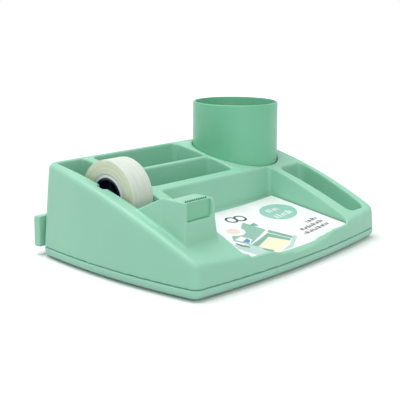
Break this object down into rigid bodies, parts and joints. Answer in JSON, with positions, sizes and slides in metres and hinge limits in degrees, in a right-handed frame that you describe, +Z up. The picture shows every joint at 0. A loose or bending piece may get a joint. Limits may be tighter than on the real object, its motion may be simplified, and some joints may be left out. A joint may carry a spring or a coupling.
{
  "type": "tape dispenser desk organizer",
  "caption": "Moulded desk organizer with a tape dispenser, note tray, pen channel, compartments, a standing pen cup and a shallow rear drawer.",
  "frame": {"origin": "centre of the footprint, on the surface that the feet stand on", "axes": "+Z up, -Y towards the user's side with the note tray and the cutter, +X to the right with the pen cup"},
  "size_m": [0.212, 0.158, 0.0982],
  "materials": {
    "housing_green": "satin moulded pastel green",
    "base_green": "satin moulded pastel green",
    "drawer_green": "satin moulded pastel green",
    "cup_green": "satin moulded green",
    "holder_green": "satin moulded pastel green",
    "blade_steel": "thin toothed strip",
    "hub_navy": "dark moulded hub",
    "axle_grey": "dark moulded pin",
    "core_grey": "light grey moulded core",
    "tape_clear": "wound clear tape, cream edge",
    "foot_rubber": "soft pad",
    "screw_steel": "zinc plated",
    "card_print": "coated printed card"
  },
  "bodies": {
    "body": {"top_housing": "housing_green", "base_plate": "base_green", "blade_holder": "holder_green", "cutter_blade": "blade_steel", "foot_front_left": "foot_rubber", "foot_front_right": "foot_rubber", "foot_rear_left": "foot_rubber", "foot_rear_right": "foot_rubber", "base_screws": "screw_steel"},
    "drawer": {"drawer": "drawer_green"},
    "cup": {"pen_cup": "cup_green"},
    "axle": {"hub_axle": "axle_grey"},
    "tape": {"tape_hub_left": "hub_navy", "tape_hub_right": "hub_navy", "tape_core": "core_grey", "tape_roll": "tape_clear"},
    "card": {"insert_card": "card_print"}
  },
  "joints": [
    {"name": "drawer_slide", "type": "slide", "parent": "body", "child": "drawer", "axis": [0, 1, 0], "range_m": [0, 0.055]},
    {"name": "cup_lift", "type": "slide", "parent": "body", "child": "cup", "axis": [0, 0, 1], "range_m": [0, 0.05]},
    {"name": "axle_lift", "type": "slide", "parent": "body", "child": "axle", "axis": [0, 0, 1], "range_m": [0, 0.05]},
    {"name": "tape_spin", "type": "hinge", "parent": "axle", "child": "tape", "pos_m": [-0.0797, 0.0163, 0.0485], "axis": [1, 0, 0], "continuous": true},
    {"name": "card_lift", "type": "slide", "parent": "body", "child": "card", "axis": [0, 0, 1], "range_m": [0, 0.04]}
  ]
}
